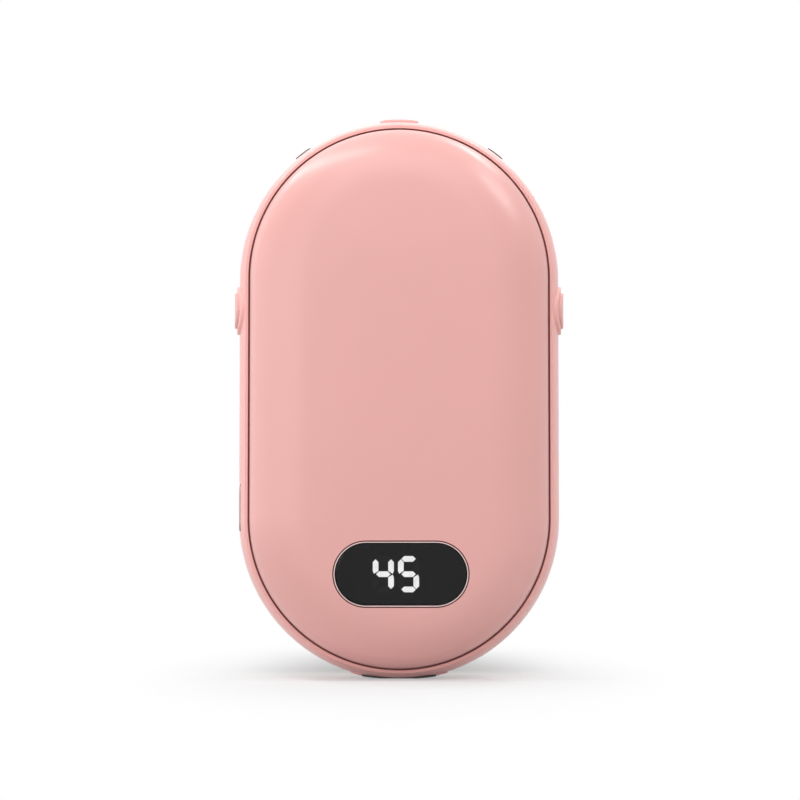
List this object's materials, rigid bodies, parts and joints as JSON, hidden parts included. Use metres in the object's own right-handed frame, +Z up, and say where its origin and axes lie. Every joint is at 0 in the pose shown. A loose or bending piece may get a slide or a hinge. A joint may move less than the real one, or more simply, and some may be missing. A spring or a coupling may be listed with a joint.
{
  "type": "rechargeable hand warmer",
  "caption": "Pill-shaped pocket hand warmer with domed heated faces, a side band, push buttons, a digit window and a charging socket.",
  "frame": {"origin": "middle of the foot's flat underside, at the bottom centre of the box", "axes": "+X to the right seen from the front, +Y from the front to the back, +Z up"},
  "size_m": [0.0618, 0.027, 0.105],
  "materials": {
    "pink_shell": "soft-touch satin",
    "pink_band": "satin",
    "pink_button": "satin",
    "bezel_pink": "gloss",
    "smoked_window": "polished smoked",
    "display_black": "matte",
    "segment_white": "lit",
    "segment_dark": "unlit",
    "smoked_light": "polished smoked",
    "foot_rubber": "matte",
    "socket_steel": "satin",
    "black_plastic": "matte",
    "white_plastic": "matte",
    "circuit_green": "solder mask",
    "flex_amber": "film",
    "pouch_foil": "foil",
    "heat_aluminium": "rolled",
    "foam_grey": "foam",
    "screw_steel": "plated",
    "contact_brass": "plated",
    "ceramic_tan": "fired",
    "led_white": "clear"
  },
  "bodies": {
    "warmer": {"front_shell": "pink_shell", "back_shell": "pink_shell", "side_band": "pink_band", "display_bezel": "bezel_pink", "display_lens": "smoked_window", "display_housing": "display_black", "lit_segments": "segment_white", "unlit_segments": "segment_dark", "left_shoulder_lens": "smoked_light", "right_shoulder_lens": "smoked_light", "rubber_foot": "foot_rubber", "usb_c_shell": "socket_steel", "usb_c_tongue": "black_plastic", "controller_chip": "black_plastic", "power_inductor": "black_plastic", "top_switch": "black_plastic", "left_switch": "black_plastic", "right_switch": "black_plastic", "thermistor": "black_plastic", "chassis": "white_plastic", "flex_connector": "white_plastic", "main_board": "circuit_green", "battery_guard_board": "circuit_green", "switch_flex": "flex_amber", "front_heater_film": "flex_amber", "back_heater_film": "flex_amber", "battery_cell": "pouch_foil", "front_heat_plate": "heat_aluminium", "back_heat_plate": "heat_aluminium", "front_insulation_pad": "foam_grey", "back_insulation_pad": "foam_grey", "chassis_screws": "screw_steel", "board_screws": "screw_steel", "display_pins": "contact_brass", "battery_tabs": "contact_brass", "battery_leads": "contact_brass", "front_heater_pins": "contact_brass", "back_heater_pins": "contact_brass", "thermistor_leads": "contact_brass", "capacitors": "ceramic_tan", "status_leds": "led_white"},
    "power_button": {"power_button_cap": "pink_button", "power_button_plunger": "white_plastic"},
    "left_button": {"left_button_cap": "pink_button", "left_button_plunger": "white_plastic"},
    "right_button": {"right_button_cap": "pink_button", "right_button_plunger": "white_plastic"}
  },
  "joints": [
    {"name": "power_press", "type": "slide", "parent": "warmer", "child": "power_button", "axis": [0, 0, -1], "range_m": [0, 0.0004], "stiffness_N_per_m": 4000},
    {"name": "left_press", "type": "slide", "parent": "warmer", "child": "left_button", "axis": [1, 0, 0], "range_m": [0, 0.0004], "stiffness_N_per_m": 4000},
    {"name": "right_press", "type": "slide", "parent": "warmer", "child": "right_button", "axis": [-1, 0, 0], "range_m": [0, 0.0004], "stiffness_N_per_m": 4000}
  ]
}
